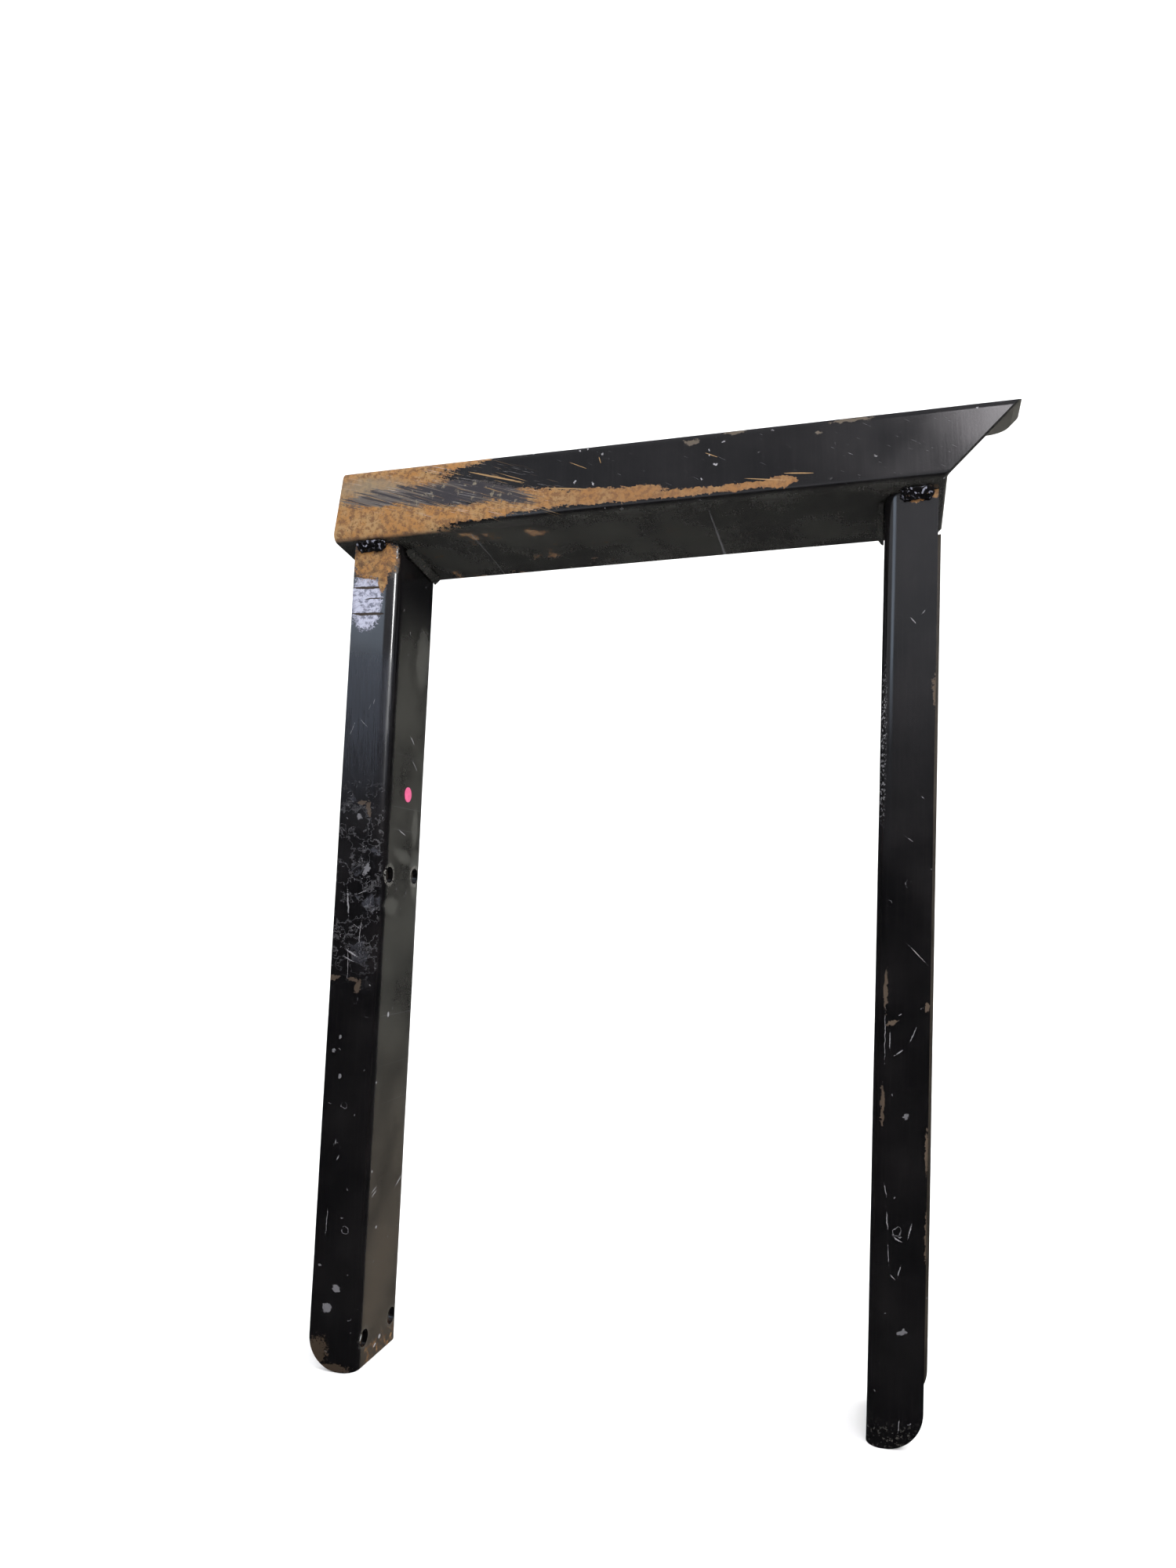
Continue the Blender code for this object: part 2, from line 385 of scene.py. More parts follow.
world = bpy.data.worlds.new("studio_world")
world.use_nodes = True
room = NodeMaker(world.node_tree)
direction = room.node("ShaderNodeTexCoord", output="Generated")
elevation = room.node("ShaderNodeSeparateXYZ", {}, {0: direction}, output="Z")
away = room.node("ShaderNodeSeparateXYZ", {}, {0: direction}, output="Y")
room_light = 0.95 * room.rise(elevation, 0.02, 0.34) - 0.50 * room.rise(elevation, 0.34, 0.57)
room_light = 0.03 + room_light * room.rise(away, 0.6, -0.1)
background = world.node_tree.nodes["Background"]
background.inputs["Color"].default_value = (0.90, 0.92, 1.0, 1)
world.node_tree.links.new(room_light.socket, background.inputs["Strength"])
bpy.context.scene.world = world
bpy.context.scene.view_settings.view_transform = "Standard"

# %% [markdown]
# ## Colours
#
# Rust is never one orange: fresh rust is bright ochre, old rust goes brown, and thin rust over
# scraped steel is olive. The paint is a little blue on the outer faces, partly a painted blue
# sheen, and grey-green on the inner ones, where a film of dust and oil mist is also a painted
# reflection of the room.

# %% Name the colours
black_gloss = (0.0020, 0.0019, 0.0022, 1)
black_haze = (0.0075, 0.0065, 0.0068, 1)
inner_dust_and_sheen = (0.0400, 0.0395, 0.0340, 1)
inner_film_brown = (0.0600, 0.0470, 0.0330, 1)
shelf_dust = (0.0820, 0.0780, 0.0650, 1)
rust_ochre = (0.265, 0.125, 0.034, 1)
rust_tan = (0.265, 0.160, 0.066, 1)
rust_brown = (0.135, 0.065, 0.025, 1)
rust_dark = (0.030, 0.018, 0.010, 1)
rust_crumb = (0.400, 0.300, 0.180, 1)
rust_olive = (0.170, 0.145, 0.100, 1)
scraped_grey = (0.085, 0.070, 0.058, 1)
scraped_purple = (0.016, 0.012, 0.014, 1)
bright_steel = (0.480, 0.450, 0.430, 1)
chip_pale = (0.270, 0.265, 0.280, 1)
smear_pale = (0.060, 0.062, 0.075, 1)
chip_faint = (0.110, 0.108, 0.115, 1)
rust_stain = (0.075, 0.048, 0.027, 1)
pale_flake_and_glint = (0.420, 0.430, 0.530, 1)
flake_shade = (0.120, 0.125, 0.165, 1)
dust_tan = (0.090, 0.070, 0.048, 1)
scuffed_blue_sheen = (0.014, 0.016, 0.024, 1)
web_smear = (0.082, 0.082, 0.072, 1)
hole_grit = (0.170, 0.165, 0.150, 1)


def enamel(finish, where):
    """Slow changes of gloss and colour, orange peel, and fine dust over all painted steel."""
    cloud = finish.rise(finish.grain(where, 70, 3, 0.5), 0.35, 0.70)
    brush = finish.streaks(where, 90, 60, 1.2, 3)
    finish.colour = finish.tint(cloud * 0.6 + finish.rise(brush, 0.45, 0.75) * 0.4,
                                black_gloss, black_haze)
    finish.rough = 0.12 + cloud * 0.07 + brush * 0.06
    peel = finish.grain(where, 1.8, 2, 0.5)
    sag = finish.grain(where, 30, 1, 0.4)
    finish.height = peel * 0.012 + sag * 0.10 + brush * 0.008


def film(finish, mask, where, colour, rough):
    """Dust and oil mist, in clouds and fine specks. The grey inner film also stands in for a painted
    reflection of the room.
    """
    clouds = finish.rise(finish.grain(where, 55, 4, 0.5), 0.25, 0.70)
    specks = finish.grain(where, 1.6, 5, 0.8)
    finish.lay(mask * (0.15 + 0.55 * clouds + 0.9 * (specks - 0.30)), colour, rough)


def rust(finish, mask, where, depth=0.22):
    """Rust with ochre, tan and brown grains and dark pits."""
    fine = finish.grain(where, 1.3, 6, 0.75)
    medium = finish.grain(where, 4.5, 6, 0.7)
    broad = finish.grain(where, 22, 5, 0.65)
    colour = finish.tint(finish.rise(broad, 0.42, 0.62), rust_ochre, rust_tan)
    colour = finish.tint(finish.rise(medium, 0.46, 0.58), colour, rust_brown)
    colour = finish.tint(finish.rise(fine, 0.54, 0.68) * 0.7, colour, rust_ochre)
    colour = finish.tint(finish.rise(finish.grain(where, 3.0, 6, 0.8), 0.57, 0.66) * 0.9,
                         colour, rust_dark)
    colour = finish.tint(finish.rise(finish.grain(where, 2.2, 4, 0.8), 0.64, 0.70) * 0.8,
                         colour, rust_crumb)
    finish.lay(mask, colour, 0.85, 0.0, -0.05)
    finish.height = finish.height + mask * fine * depth


def chips(finish, where, size, share, many, colour):
    """Small chips knocked out of the paint; many is where they may be."""
    cells = finish.node("ShaderNodeTexVoronoi", {},
                        {"Vector": finish.warped(where, size * 0.4, size * 0.7),
                         "Scale": 1 / size, "Randomness": 1.0}, output="Distance")
    mask = finish.rise(cells, share, share * 0.8) * many
    finish.lay(mask, colour, 0.50, 0.2, -0.06)


def rings(finish, where, size, radius, many, colour):
    """The raised rims that round knocks leave in a thick coat of paint."""
    cells = finish.node("ShaderNodeTexVoronoi", {},
                        {"Vector": finish.warped(where, size * 0.5, size * 0.4),
                         "Scale": 1 / size, "Randomness": 1.0}, output="Distance")
    rim = finish.rise(cells, radius, radius * 1.08) * finish.rise(cells, radius * 1.30, radius * 1.16)
    broken = finish.rise(finish.grain(where, size * 0.3, 3), 0.45, 0.60)
    finish.lay(rim * broken * many, colour, 0.40, 0.0, 0.04)


def scratches(finish, where, turn, long, across, level, colour, patch):
    """Fine straight scratches along one direction, kept to a patch."""
    lines = finish.streaks(where, turn, long, across)
    mask = finish.rise(lines, level, level + 0.03) * patch
    finish.lay(mask, colour, 0.42, 0.3, -0.03)


print("colours and coats are ready")

# %% [markdown]
# ## Where things are
#
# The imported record's mounts lie on real faces, so they give the rail's directions and its
# lower front corner without repeating any number by hand. Each leg's box gives its web, its
# front and its back. Sizes that neither gives, such as the plate and the bends, are named here.

# %% Read the directions and edges from the frame
plate = 0.006
leg_bend = 0.011
leg_front_flange = 0.040
foot_corner = 0.027
rail_face = 0.063
rail_lower_flange = 0.091
rail_upper_flange = 0.042
rail_bend = 0.0075
rail_left_overhang = 0.0145
rail_right_overhang = 0.0010
upper_corner = 0.0125
left_end_lean = radians(5.5)
mitre_angle = radians(45)
joint_gap = 0.0003
hole_diameter = 0.0135
hole_pitch = 0.048
wall_depth = (4.0, 5.6)  # in millimetres: a coat for the inside starts within the plate

left_low, left_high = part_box("left_leg")
right_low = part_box("right_leg")[0]
leg_web = left_high.y - left_low.y
leg_back_flange = left_high.x - left_low.x
leg_span = right_low.x - left_high.x
rail_up = Vector(mounts["rail_top"]["axis"]).normalized()
rail_back = -Vector(mounts["rail_front"]["axis"]).normalized()
rail_along = rail_back.cross(rail_up).normalized()
rail_front_point = Vector(mounts["rail_front"]["pos_m"])
rail_corner = rail_front_point - rail_along * leg_span / 2 - rail_up * rail_face / 2
print("clear span, mm:", round(leg_span * 1000, 1), " rail corner:", rail_corner.to_tuple(4))

# %% [markdown]
# ## Pressed channels
#
# A channel is a flat strip folded twice in a press. Its outside could be drawn as a long
# outline, but folding tells more: a box loses its open side and its ends, two long edges are
# rounded to the press's radius, and Solidify gives the sheet its wall. The ends are then sawn
# with planes. The two legs and the rail are the same shape in different sizes, so one function
# folds them all, with the web at the front, the flanges below and above, and X along them.

# %% Fold a channel
bend_segments = 10
press_step = 0.009
pressed_unevenness = 0.00035
wave_size = 0.05
filed_edge = 0.0008
tiny = 0.00005


def apply_all(item):
    only(item)
    for modifier in list(item.modifiers):
        bpy.ops.object.modifier_apply(modifier=modifier.name)


def fold_channel(name, start, end, lower, upper, height, bend):
    """A channel from x = start to end, with the web on y = 0 and flanges of two depths."""
    deep = max(lower, upper)
    bpy.ops.mesh.primitive_cube_add(size=1)
    item = bpy.context.object
    item.name = name
    item.scale = (end - start, deep, height)
    item.location = ((start + end) / 2, deep / 2, height / 2)
    bpy.ops.object.transform_apply(location=True, rotation=True, scale=True)

    edit(item, "FACE", lambda face: face.normal.y > 0.5 or abs(face.normal.x) > 0.5,
         lambda: bpy.ops.mesh.delete(type="FACE"))
    for level, depth in ((0, lower), (height, upper)):
        edit(item, "EDGE",
             lambda edge: all(point.y > deep - tiny and abs(point.z - level) < tiny
                              for point in ends_of(item, edge)),
             lambda: bpy.ops.transform.translate(value=(0, depth - deep, 0)))
    edit(item, "EDGE",
         lambda edge: all(point.y < tiny for point in ends_of(item, edge))
         and abs(ends_of(item, edge)[0].x - ends_of(item, edge)[1].x) > tiny,
         lambda: bpy.ops.mesh.bevel(offset=bend, segments=bend_segments, affect="EDGES"))

    wall = item.modifiers.new("wall", "SOLIDIFY")
    wall.thickness = plate
    wall.offset = -1
    wall.use_even_offset = True
    apply_all(item)
    return item


def saw(item, point, outwards):
    """Cut away all that lies beyond a plane, and close the cut."""
    edit(item, "FACE", everything,
         lambda: bpy.ops.mesh.bisect(plane_co=point, plane_no=outwards, use_fill=True,
                                     clear_outer=True))


def press_marks(item, seed):
    """Split the faces into a grid and let the plate sink a little here and there."""
    corners = [Vector(corner) for corner in item.bound_box]
    for axis in range(3):
        low = min(corner[axis] for corner in corners)
        high = max(corner[axis] for corner in corners)
        normal = [0, 0, 0]
        normal[axis] = 1
        for step in range(1, int((high - low) / press_step) + 1):
            place = [0, 0, 0]
            place[axis] = low + step * press_step
            edit(item, "FACE", everything,
                 lambda: bpy.ops.mesh.bisect(plane_co=place, plane_no=normal))
    clouds = bpy.data.textures.new(item.name + "_waves", "CLOUDS")
    clouds.noise_scale = wave_size + 0.01 * seed
    clouds.noise_depth = 1
    waves = item.modifiers.new("waves", "DISPLACE")
    waves.texture = clouds
    waves.texture_coords = "LOCAL"
    waves.mid_level = 1.0
    waves.strength = pressed_unevenness
    apply_all(item)


def break_edges(item):
    """Take the sharpness off every cut edge, as a file or a flap wheel does."""
    rounding = item.modifiers.new("broken_edges", "BEVEL")
    rounding.width = filed_edge
    rounding.segments = 2
    rounding.limit_method = "ANGLE"
    rounding.angle_limit = radians(40)
    apply_all(item)
    only(item)
    bpy.ops.object.shade_smooth_by_angle(angle=radians(50))
    facing = item.modifiers.new("flat_faces_stay_flat", "WEIGHTED_NORMAL")
    facing.keep_sharp = True
    apply_all(item)


def stand(item, corner, along, back, up):
    """Put a piece that was made at the origin where it belongs, with its place in its mesh."""
    item.matrix_world = Matrix.Translation(corner) @ Matrix((along, back, up)).transposed().to_4x4()
    only(item)
    bpy.ops.object.transform_apply(location=True, rotation=True, scale=True)


print("presses are ready")

# %% [markdown]
# ## The legs
#
# Each leg stands on its square end with both flanges' corners rounded off, so that it doesn't
# catch on the floor. Its top is sawn to the rail's underside, which slopes two ways. The left
# leg carries four bolt holes through its web. A hole could be cut with an inset and a deleted
# face, but a boolean with a round cutter leaves a clean wall through the plate.

# %% Make the two legs
foot_segments = 14


def make_leg(name, web_x, front_y, back, up):
    """A leg in its own axes: x is up from the floor, y out from the web, z across."""
    upward = Vector((0, 0, 1))
    front_is_above = up.y < 0
    flanges = (leg_back_flange, leg_front_flange)
    lower, upper = flanges if front_is_above else flanges[::-1]
    item = fold_channel(name, 0, cad_high.z, lower, upper, leg_web, leg_bend)
    corner_y = front_y + leg_web if front_is_above else front_y
    corner = Vector((web_x, corner_y, 0))

    cut_point = rail_corner - rail_up * joint_gap - corner
    axes = Matrix((upward, back, up))
    saw(item, axes @ cut_point, axes @ rail_up)

    def at_foot_corner(edge):
        ends = ends_of(item, edge)
        across = abs(ends[0].z - ends[1].z)
        depth = lower if ends[0].z < leg_web / 2 else upper
        return across > plate / 2 and all(p.x < tiny and p.y > depth - tiny for p in ends)

    edit(item, "EDGE", at_foot_corner,
         lambda: bpy.ops.mesh.bevel(offset=foot_corner, segments=foot_segments, affect="EDGES"))
    press_marks(item, 1)
    stand(item, corner, upward, back, up)
    return item


def drill(item, points, direction, diameter):
    """Bore straight holes through a piece with round cutters."""
    turn = direction.to_track_quat("Z", "Y").to_euler()
    for point in points:
        bpy.ops.mesh.primitive_cylinder_add(vertices=48, radius=diameter / 2, depth=plate * 4,
                                            location=point, rotation=turn)
        cutter = bpy.context.object
        cut = item.modifiers.new("hole", "BOOLEAN")
        cut.object = cutter
        apply_all(item)
        bpy.data.objects.remove(cutter, do_unlink=True)


right = Vector((1, 0, 0))
backward = Vector((0, 1, 0))
left_leg = make_leg("left_leg_plate", left_high.x, left_low.y, -right, -backward)
right_leg = make_leg("right_leg_plate", right_low.x, right_low.y, right, backward)

hole_points = []
for face in ("bolt_face_lower", "bolt_face_upper"):
    for side in (-1, 1):
        hole_points.append(Vector(mounts[face]["pos_m"]) + backward * side * hole_pitch / 2)
drill(left_leg, hole_points, right, hole_diameter)

for leg in (left_leg, right_leg):
    break_edges(leg)
    print(leg.name, "has", len(leg.data.polygons), "faces")

# %% [markdown]
# ## The top rail
#
# The rail leans back on its deep lower flange. Its left end is sawn nearly square, its right
# end at 45 degrees across the front web, and the upper flange's free corner there is rounded.

# %% Make the rail
rail_left_end = -leg_front_flange - rail_left_overhang
rail_right_end = leg_span + leg_front_flange + rail_right_overhang
rail_tip = rail_right_end + rail_face * tan(mitre_angle)
saw_allowance = 0.02

rail = fold_channel("top_rail_plate", rail_left_end - saw_allowance, rail_tip + saw_allowance,
                    rail_lower_flange, rail_upper_flange, rail_face, rail_bend)
saw(rail, (rail_left_end, 0, 0), (-cos(left_end_lean), 0, sin(left_end_lean)))
saw(rail, (rail_right_end, 0, 0), (cos(mitre_angle), 0, -sin(mitre_angle)))


def at_tip_corner(edge):
    """The slanting edge where the mitre meets the upper flange's free edge."""
    ends = ends_of(rail, edge)
    behind = all(p.y > rail_upper_flange - tiny and p.x > rail_tip - 2 * plate for p in ends)
    return behind and abs(ends[0].z - ends[1].z) > plate / 2


edit(rail, "EDGE", at_tip_corner,
     lambda: bpy.ops.mesh.bevel(offset=upper_corner, segments=10, affect="EDGES"))
press_marks(rail, 2)
break_edges(rail)
stand(rail, rail_corner, rail_along, rail_back, rail_up)
print("top rail has", len(rail.data.polygons), "faces")

# %% [markdown]
# ## The weld beads
#
# A bead is metal laid down in small overlapping pools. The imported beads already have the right
# ripple, so each is copied, its loose triangles are joined, Subdivision Surface rounds the
# pools, and a little noise keeps any two of them from being alike.

# %% Round the beads
lump_size = 0.004
lump_depth = 0.0016
bead_names = [f"{side}_{place}_weld" for side in ("left", "right")
              for place in ("front", "inner", "back")]


def round_bead(node_name, seed):
    item = bpy.data.objects.new(node_name.replace("weld", "bead"),
                                frame["nodes"][node_name].data.copy())
    bpy.context.collection.objects.link(item)
    edit(item, "FACE", everything,
         lambda: bpy.ops.mesh.remove_doubles(threshold=0.00002),
         lambda: bpy.ops.mesh.tris_convert_to_quads())
    pools = item.modifiers.new("pools", "SUBSURF")
    pools.levels = 2
    pools.render_levels = 2
    lumps = bpy.data.textures.new(item.name + "_lumps", "CLOUDS")
    lumps.noise_scale = lump_size + 0.0003 * seed
    rough = item.modifiers.new("lumps", "DISPLACE")
    rough.texture = lumps
    rough.texture_coords = "LOCAL"
    rough.mid_level = 0.6
    rough.strength = lump_depth
    apply_all(item)
    only(item)
    bpy.ops.object.shade_smooth()
    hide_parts(node_name)
    return item


beads = [round_bead(name, number) for number, name in enumerate(bead_names)]
print("beads:", [bead.name for bead in beads])

# %% [markdown]
# ## The marker dot
#
# A round vinyl dot of the kind used for colour coding is stuck to the left leg's inner face. A
# disc is extruded to the vinyl's thickness and its rim is rounded, so that it catches light.

# %% Make the dot
dot_low, dot_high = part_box("marker_sticker")
dot_middle = (dot_low + dot_high) / 2
dot_radius = (dot_high.z - dot_low.z) / 2
dot_thickness = dot_high.x - dot_low.x

bpy.ops.mesh.primitive_circle_add(vertices=64, radius=dot_radius, fill_type="NGON",
                                  location=(dot_low.x, dot_middle.y, dot_middle.z),
                                  rotation=(0, radians(90), 0))
dot = bpy.context.object
dot.name = "marker_dot"
bpy.ops.object.transform_apply(location=True, rotation=True, scale=True)
edit(dot, "FACE", everything,
     lambda: bpy.ops.mesh.extrude_region_move(TRANSFORM_OT_translate={"value": (dot_thickness, 0, 0)}),
     lambda: bpy.ops.mesh.bevel(offset=dot_thickness * 0.4, segments=2, affect="EDGES"))
edit(dot, "FACE", everything, lambda: bpy.ops.mesh.normals_make_consistent(inside=False))
only(dot)
bpy.ops.object.shade_smooth_by_angle(angle=radians(40))
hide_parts("marker_sticker")
print("dot is", round(dot_radius * 2000, 1), "mm across")

# %% [markdown]
# ## The rail's finish
#
# Positions are counted in millimetres along the rail from above the left leg, up the web and
# back along the flanges. The left end has lost its paint to rust, and a band of rust runs above
# the lower bend where loads were dragged over it. A slanting scrape crosses the rust and has
# taken it down to grey steel and the last of the paint. Each mark is an oval or a stroke. The
# marks' places here and on the legs were worked out through the fitted camera and rounded to
# millimetres, and their sizes were judged.

# %% Paint and rust the rail
scrape_turn = -17


def finish_rail():
    finish = Finish("rail_worn_paint", black_gloss, 0.25)
    where, along, up, back = finish.place(rail_corner, (rail_along, rail_up, rail_back))
    enamel(finish, where)
    ragged = finish.warped(where, 7, 9)
    front = finish.rise(back, 7, 2)
    fray = finish.grain(where, 3.2, 6, 0.75)

    under = finish.rise(finish.facing(-rail_up), 0.3, 0.8)
    # Painted reflection: the grey film on faces turned down is partly dust and partly a painted
    # reflection of the room.
    film(finish, under * 0.62, where, inner_dust_and_sheen, 0.42)
    inside = finish.rise(back, *wall_depth) * finish.rise(up, *wall_depth)
    film(finish, inside, where, shelf_dust, 0.62)

    rust_ovals = [((-32, 26), (92, 62), 0), ((35, 62), (52, 10), 0), ((62, 13), (90, 9), 2),
                  ((118, 20), (46, 10), -6), ((172, 16), (46, 7.5), -2), ((200, 15), (34, 7.5), 0),
                  ((248, 11), (40, 4), 0), ((300, 11), (34, 3.4), 0), ((322, 12), (14, 5), 0)]
    close = finish.spots(ragged, rust_ovals)
    drag = finish.streaks(where, scrape_turn, 40, 1.6, 3)
    rusted = finish.rise(close + (fray - 0.5) * 0.9 + (drag - 0.5) * 0.6, 0.03, 0.14) * front
    rust(finish, rusted, where)
    # Painted shade: the rust is darkened towards the right end, against the soft box's stronger light
    # there.
    finish.lay(rusted * finish.rise(along, 60, 210) * 0.45, rust_brown, 0.85)
    thin = finish.rise(finish.spot(ragged, (-20, 44), (50, 14), -6), 0.0, 0.7)
    finish.lay(thin * rusted * 0.65, rust_olive, 0.70)

    band = finish.spots(ragged, [((-10, 34), (38, 9), 0), ((40, 32), (58, 12), -5),
                                 ((84, 30), (46, 9), -17)])
    scraped = finish.rise(band + (drag - 0.5) * 1.6 + (fray - 0.5) * 0.5, 0.05, 0.30) * front
    finish.lay(scraped, scraped_grey, 0.45, 0.0, -0.04)
    left_over = finish.streaks(where, scrape_turn - 3, 70, 2.0, 3)
    purple = finish.rise(left_over + 0.10 * finish.rise(along, 10, 60), 0.46, 0.52)
    finish.lay(scraped * purple, scraped_purple, 0.36, 0.0, 0.05)
    finish.lay(scraped * finish.rise(finish.grain(where, 6, 5), 0.58, 0.66) * 0.8, rust_olive, 0.7)
    rubbed = finish.rise(finish.spot(where, (50, 34), (120, 34), -10), 0.0, 0.4) * front
    scratches(finish, where, scrape_turn, 34, 0.50, 0.670, bright_steel, rubbed * 0.6)
    scratches(finish, where, scrape_turn - 5, 50, 0.8, 0.645, rust_tan, rubbed)

    cuts = finish.strokes(where, [((128, 28), (172, 22), 0.7), ((322, 19), (350, 16), 0.6),
                                  ((60, 51), (118, 33), 0.9), ((150, 49), (168, 40), 0.35),
                                  ((176, 51), (178, 44), 0.4), ((262, 44), (274, 38), 0.4),
                                  ((292, 18), (330, 12), 0.5), ((-28, 9), (-8, 16), 0.5)])
    finish.lay(finish.rise(cuts + (fray - 0.5) * 0.8, 0.10, 0.30) * front, rust_tan, 0.5, 0.2)
    thin_scuffs = finish.spots(ragged, [((252, 54), (9, 4), 0), ((287, 59), (11, 3), 0),
                                        ((377, 58), (20, 3), 0), ((352, 50), (3, 2), 0)])
    finish.lay(finish.rise(thin_scuffs + (fray - 0.5) * 1.2, 0.15, 0.4) * front * 0.8,
               dust_tan, 0.6)

    rear = finish.rise(back, 8, 14)
    rust(finish, rear * finish.rise(finish.grain(ragged, 36, 6, 0.7), 0.58, 0.64)
         * finish.rise(along, 260, 40) * 0.8, where, 0.1)
    scratches(finish, where, 4, 40, 0.5, 0.70, chip_faint, rear)
    face_only = front * finish.rise(along, 40, 120)
    scratches(finish, where, -32, 14, 0.30, 0.735, chip_pale, face_only)
    chips(finish, where, 11, 0.10, face_only * finish.rise(finish.grain(where, 50, 1), 0.48, 0.6),
          chip_pale)
    return finish.close()


rail_finish = finish_rail()

# %% [markdown]
# ## The legs' finish
#
# On a leg, millimetres are counted out from the web, up from the floor and back from the front
# face. Both legs share the coats, and each has its own list of places where it is worn. On the
# left leg the paint has torn off in bands below the weld, and left a torn film there, painted
# pale blue-white, which is partly a painted reflection of the left window.

# %% Coats that both legs share


def start_leg(name, web_x, outwards):
    """Paint a leg, give its inner face a grey film of dust and painted reflection, held back near the
    top as painted shade under the rail, and knock it about. The places come back with it.
    """
    finish = Finish(name, black_gloss, 0.25)
    corner = Vector((web_x, left_low.y, 0))
    where, out, height, back = finish.place(corner, (outwards, Vector((0, 0, 1)), backward))
    enamel(finish, where)
    inner = finish.rise(finish.facing(-outwards), 0.45, 0.90)
    inner = inner * finish.rise(back, 9, 15)
    # Painted shade: the film thins towards the top of the inner face, so the face goes dark under the
    # rail.
    shade_under_rail = finish.rise(height, 650, 560)
    film(finish, inner * shade_under_rail * 1.15, where, inner_dust_and_sheen, 0.38)
    film(finish, inner * finish.rise(height, 330, 40), where, inner_film_brown, 0.46)
    web_depth = leg_web * 1000
    channel = finish.rise(out, *wall_depth) * finish.rise(back, *wall_depth)
    channel = channel * finish.rise(back, *[web_depth - depth for depth in wall_depth])
    film(finish, channel * 0.8, where, inner_film_brown, 0.60)
    unseen = finish.rise(back, 12, 20)
    chips(finish, where, 12, 0.09, unseen * finish.rise(finish.grain(where, 60, 1), 0.45, 0.6),
          chip_faint)
    scratches(finish, where, 70, 30, 0.5, 0.70, chip_faint, unseen)
    rust(finish, finish.rise(height, 22, 4) * finish.rise(finish.grain(where, 7, 6, 0.7), 0.50, 0.60)
         * unseen * 0.8, where, 0.1)
    return finish, where, height, back


def wear_face(finish, where, mask, ovals, colour, rough, strength=1.0, fray_by=1.2):
    """A ragged coat over ovals on one face of a leg."""
    close = finish.spots(finish.warped(where, 5, 4), ovals)
    fray = finish.grain(where, 2.4, 6, 0.75)
    worn = finish.rise(close + (fray - 0.5) * fray_by, 0.10, 0.26) * mask
    finish.lay(worn * strength, colour, rough, 0.0, -0.03)
    return worn


def fine_marks(finish, where, mask, lines):
    """Thin pale scratches and nicks, broken along their length."""
    found = finish.strokes(finish.warped(where, 12, 3), lines)
    broken = finish.grain(where, 1.6, 4, 0.7)
    finish.lay(finish.rise(found + (broken - 0.5) * 1.6, 0.35, 0.70) * mask * 0.6, chip_pale, 0.45)


# %% The left leg


